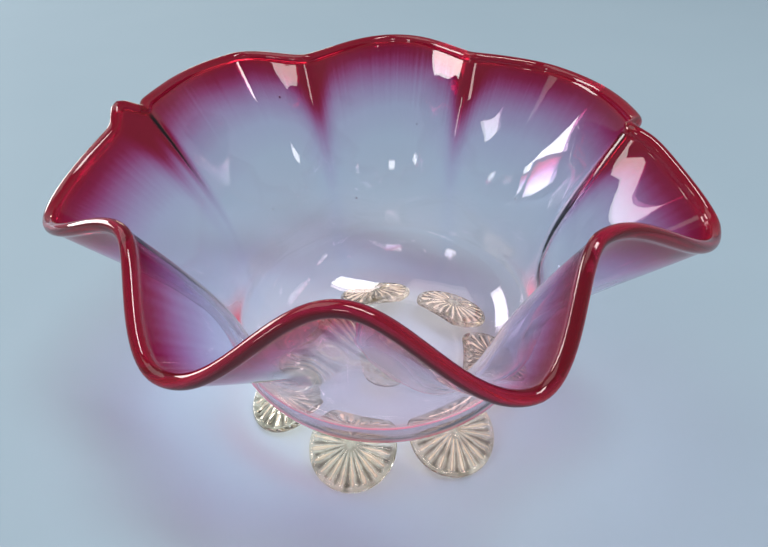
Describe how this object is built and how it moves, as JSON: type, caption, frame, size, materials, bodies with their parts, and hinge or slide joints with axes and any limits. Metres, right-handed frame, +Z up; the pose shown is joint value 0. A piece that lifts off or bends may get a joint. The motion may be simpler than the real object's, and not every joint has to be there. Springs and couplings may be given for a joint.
{
  "type": "frilled glass bowl",
  "caption": "Hand-blown glass bowl with a crimped red-edged frill, standing on splayed clear shell feet.",
  "frame": {"origin": "on the table, under the middle of the bowl, where the feet rest", "axes": "+Z up out of the bowl's mouth, -Y towards the front, +X to the right"},
  "size_m": [0.2203, 0.2179, 0.1361],
  "materials": {
    "cranberry_glass": "fire-polished transparent glass, clear lilac below deepening to cranberry red at the rim",
    "clear_glass": "clear colourless pressed glass, glossy, ribbed"
  },
  "bodies": {
    "root": {"bowl_body": "cranberry_glass", "shell_foot_1": "clear_glass", "shell_foot_2": "clear_glass", "shell_foot_3": "clear_glass", "shell_foot_4": "clear_glass", "shell_foot_5": "clear_glass", "shell_foot_6": "clear_glass", "shell_foot_7": "clear_glass", "pontil_wafer": "clear_glass"}
  },
  "joints": []
}
